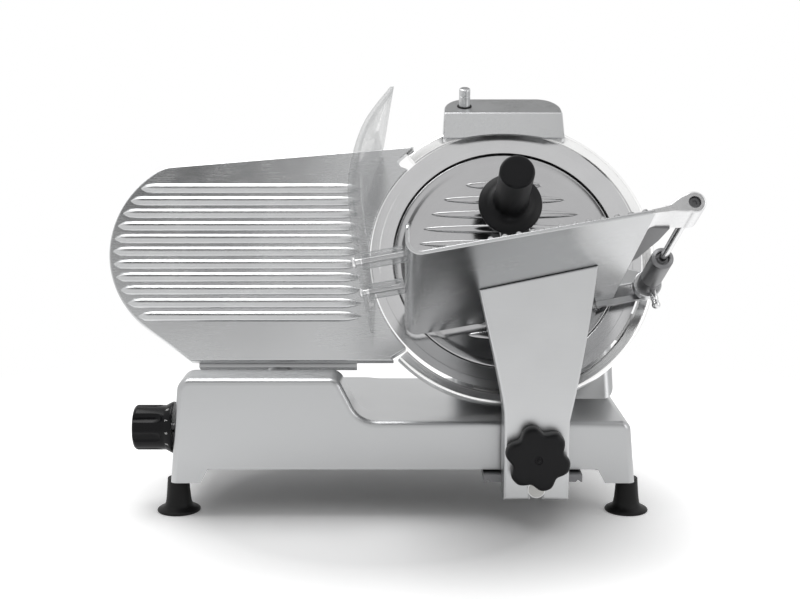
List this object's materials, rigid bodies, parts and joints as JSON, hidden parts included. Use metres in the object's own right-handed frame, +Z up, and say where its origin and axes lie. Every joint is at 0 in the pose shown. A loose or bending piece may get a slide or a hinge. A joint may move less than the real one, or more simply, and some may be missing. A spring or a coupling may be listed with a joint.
{
  "type": "food slicer",
  "caption": "Gravity-feed food slicer with a leaning round blade, sliding food tray and pusher, gauge plate with index knob, sharpener and clear hand guard.",
  "frame": {"origin": "on the surface the feet stand on, under the middle of the whole machine", "axes": "+Z up, -Y towards the operator, +X to the operator's right along the carriage's travel"},
  "size_m": [0.6074, 0.4264, 0.45],
  "materials": {
    "anodised_aluminium": "satin anodised",
    "plain_aluminium": "machined",
    "blade_steel": "ground and hollow in the middle",
    "bright_steel": "bright",
    "screw_steel": "plain",
    "motor_paint": "matt paint",
    "black_plastic": "moulded",
    "black_rubber": "matt",
    "green_plastic": "moulded",
    "red_plastic": "moulded",
    "abrasive": "gritty",
    "clear_plastic": "clear sheet"
  },
  "bodies": {
    "stand": {"base_casting": "anodised_aluminium", "bottom_plate": "plain_aluminium", "feet": "black_rubber", "foot_screws": "screw_steel", "guide_rod": "bright_steel", "support_bar": "bright_steel", "motor_housing": "anodised_aluminium", "belt_housing": "anodised_aluminium", "motor": "motor_paint", "blade_shaft": "screw_steel", "drive_belt": "black_rubber", "ring_guard": "anodised_aluminium", "ring_screws": "screw_steel", "slice_deflector": "plain_aluminium", "sharpener_cover": "anodised_aluminium", "sharpener_bracket": "anodised_aluminium", "blade_cover": "anodised_aluminium", "gauge_guide_rod": "bright_steel", "switch_plate": "black_plastic", "cable_gland": "black_plastic"},
    "blade_unit": {"blade": "blade_steel", "blade_hub": "plain_aluminium", "blade_bearings": "screw_steel", "blade_screws": "screw_steel"},
    "pulley_unit": {"motor_pulley": "plain_aluminium"},
    "cover_knob_unit": {"cover_knob": "black_plastic", "cover_tie_rod": "screw_steel"},
    "gauge_unit": {"gauge_plate": "anodised_aluminium", "gauge_bracket": "anodised_aluminium", "gauge_slide": "plain_aluminium"},
    "index_unit": {"index_knob": "black_plastic", "index_shaft": "screw_steel", "index_cam": "screw_steel"},
    "carriage": {"carriage_arm": "anodised_aluminium", "carriage_slide": "plain_aluminium", "locating_stud": "bright_steel", "support_roller": "bright_steel", "food_tray": "anodised_aluminium", "tray_screws": "screw_steel", "pusher_rod": "bright_steel", "rod_bracket": "anodised_aluminium", "thumb_guard": "clear_plastic", "guard_spacers": "clear_plastic", "guard_screws": "screw_steel"},
    "star_knob_unit": {"carriage_knob": "black_plastic"},
    "sleeve_unit": {"pusher_sleeve": "bright_steel", "sleeve_pin": "bright_steel"},
    "pusher_unit": {"pusher_arm": "anodised_aluminium", "pusher_plate": "blade_steel", "pusher_handle": "black_plastic"},
    "start_unit": {"start_button": "green_plastic"},
    "stop_unit": {"stop_button": "red_plastic"},
    "grind_unit": {"grind_pin": "bright_steel", "grinding_stone": "abrasive"},
    "deburr_unit": {"deburr_button": "bright_steel", "deburring_stone": "abrasive"},
    "sharpener_knob_unit": {"sharpener_knob": "black_plastic"}
  },
  "joints": [
    {"name": "blade_spin", "type": "hinge", "parent": "stand", "child": "blade_unit", "pos_m": [0.13725, 0.07581, 0.262], "axis": [0, -0.8988, 0.4384], "continuous": true},
    {"name": "motor_pulley_spin", "type": "hinge", "parent": "stand", "child": "pulley_unit", "pos_m": [0.18725, 0.03417, 0.17661], "axis": [0, -0.8988, 0.4384], "continuous": true},
    {"name": "cover_knob_turn", "type": "hinge", "parent": "stand", "child": "cover_knob_unit", "pos_m": [0.13725, 0.1657, 0.21816], "axis": [0, -0.8988, 0.4384], "range_deg": [0, 360]},
    {"name": "gauge_opening", "type": "slide", "parent": "stand", "child": "gauge_unit", "axis": [0, 0.8988, -0.4384], "range_m": [0, 0.01]},
    {"name": "index_turn", "type": "hinge", "parent": "stand", "child": "index_unit", "pos_m": [-0.21775, -0.00419, 0.089], "axis": [1, 0, 0], "range_deg": [0, 300]},
    {"name": "carriage_travel", "type": "slide", "parent": "stand", "child": "carriage", "axis": [1, 0, 0], "range_m": [-0.25, 0.014]},
    {"name": "star_knob_turn", "type": "hinge", "parent": "carriage", "child": "star_knob_unit", "pos_m": [0.15825, -0.08418, 0.08], "axis": [0, -1, 0], "range_deg": [-360, 360]},
    {"name": "sleeve_slide", "type": "slide", "parent": "carriage", "child": "sleeve_unit", "axis": [0, -0.8988, 0.4384], "range_m": [0, 0.1]},
    {"name": "pusher_lift", "type": "hinge", "parent": "sleeve_unit", "child": "pusher_unit", "pos_m": [0.28666, 0.03266, 0.23739], "axis": [0, 0.8988, -0.4384], "range_deg": [0, 75]},
    {"name": "start_press", "type": "slide", "parent": "stand", "child": "start_unit", "axis": [0.9969, 0, -0.0785], "range_m": [0, 0.0025], "stiffness_N_per_m": 400, "springref_m": -0.004},
    {"name": "stop_press", "type": "slide", "parent": "stand", "child": "stop_unit", "axis": [0.9969, 0, -0.0785], "range_m": [0, 0.0025], "stiffness_N_per_m": 400, "springref_m": -0.004},
    {"name": "grind_press", "type": "slide", "parent": "stand", "child": "grind_unit", "axis": [0, 0.342, -0.9397], "range_m": [0, 0.004], "stiffness_N_per_m": 400, "springref_m": -0.004},
    {"name": "deburr_press", "type": "slide", "parent": "stand", "child": "deburr_unit", "axis": [0, -0.8988, 0.4384], "range_m": [0, 0.004], "stiffness_N_per_m": 400, "springref_m": -0.004},
    {"name": "sharpener_knob_turn", "type": "hinge", "parent": "stand", "child": "sharpener_knob_unit", "pos_m": [0.13725, 0.19769, 0.37501], "axis": [0, -0.8988, 0.4384], "range_deg": [-360, 360]}
  ],
  "couplings": [
    {"joint": "motor_pulley_spin", "follows": "blade_spin", "ratio": 2.6667},
    {"joint": "index_turn", "follows": "gauge_opening", "rad_per_m": 523.58}
  ]
}
